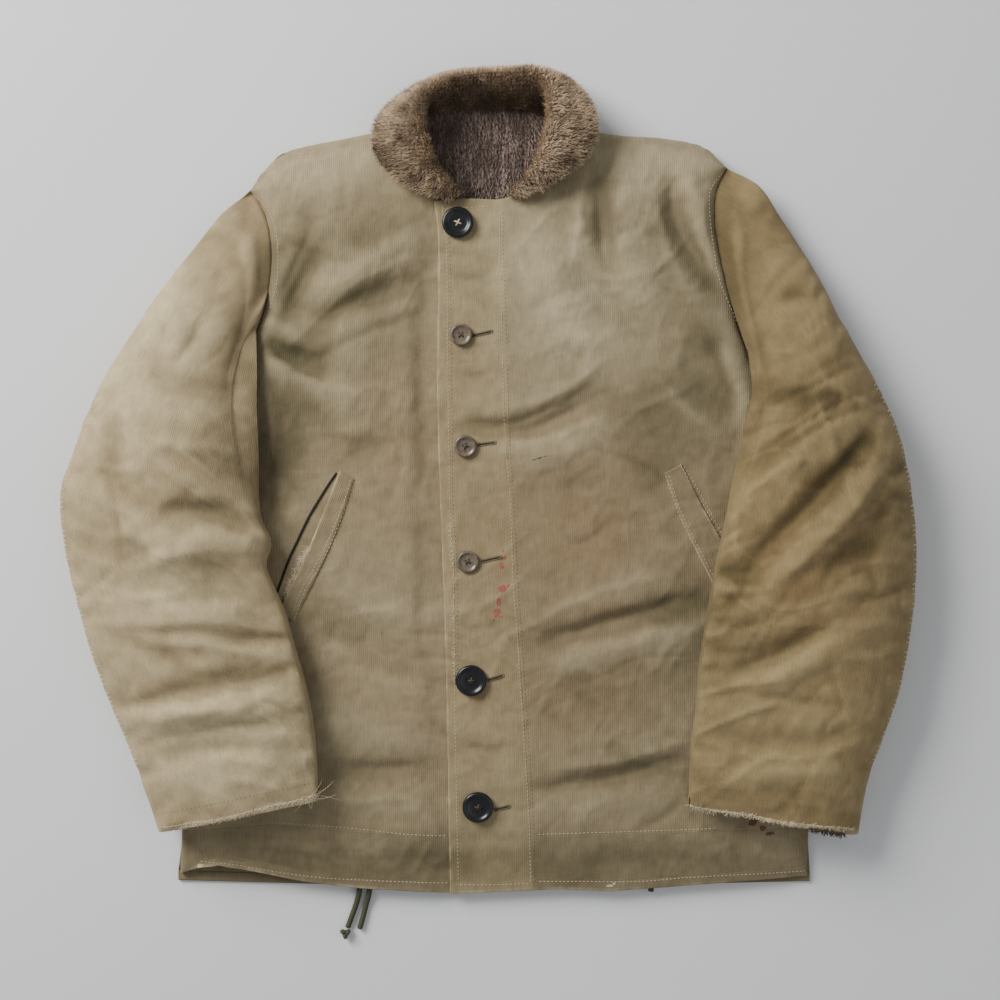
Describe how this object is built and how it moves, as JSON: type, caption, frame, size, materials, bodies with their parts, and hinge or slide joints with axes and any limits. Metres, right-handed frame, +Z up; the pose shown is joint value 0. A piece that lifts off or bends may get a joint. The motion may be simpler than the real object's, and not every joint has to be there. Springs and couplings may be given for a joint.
{
  "type": "deck jacket",
  "caption": "Short worn cotton jacket with a rolled pile collar, buttoned placket and slanted pocket welts, laid out flat on its back",
  "frame": {"origin": "on the surface the jacket lies on, under the middle of its outline, cords left out", "axes": "+X to the wearer's left across the jacket, +Y from the hem to the collar, +Z up out of the front"},
  "size_m": [0.7723, 0.7962, 0.0745],
  "materials": {
    "shell_cloth": "worn corded cotton, matt, faded unevenly from olive to tan",
    "pile_collar": "matted brown pile, lighter along the roll",
    "pile_lining": "dark brown pile",
    "button_black": "polished, four holes",
    "button_brown": "polished brown, four holes",
    "cord": "braided olive cotton"
  },
  "bodies": {
    "root": {"front_right": "shell_cloth", "front_left": "shell_cloth", "placket": "shell_cloth", "hem_band_right": "shell_cloth", "hem_band_left": "shell_cloth", "hem_binding_right": "shell_cloth", "hem_binding_left": "shell_cloth", "back": "shell_cloth", "hem_band_back": "shell_cloth", "hem_binding_back": "shell_cloth", "lining_back": "pile_lining", "lining_front": "pile_lining", "sleeve_top_right": "shell_cloth", "sleeve_under_right": "shell_cloth", "sleeve_top_left": "shell_cloth", "sleeve_under_left": "shell_cloth", "cuff_lining_right": "pile_lining", "cuff_lining_left": "pile_lining", "collar": "pile_collar", "collar_under": "shell_cloth", "pocket_welt_right": "shell_cloth", "pocket_welt_left": "shell_cloth", "button_1": "button_black", "button_2": "button_brown", "button_3": "button_brown", "button_4": "button_brown", "button_5": "button_black", "button_6": "button_black", "drawcord_long": "cord", "drawcord_short": "cord", "drawcord_stub": "cord", "drawcord_knot": "cord"}
  },
  "joints": []
}
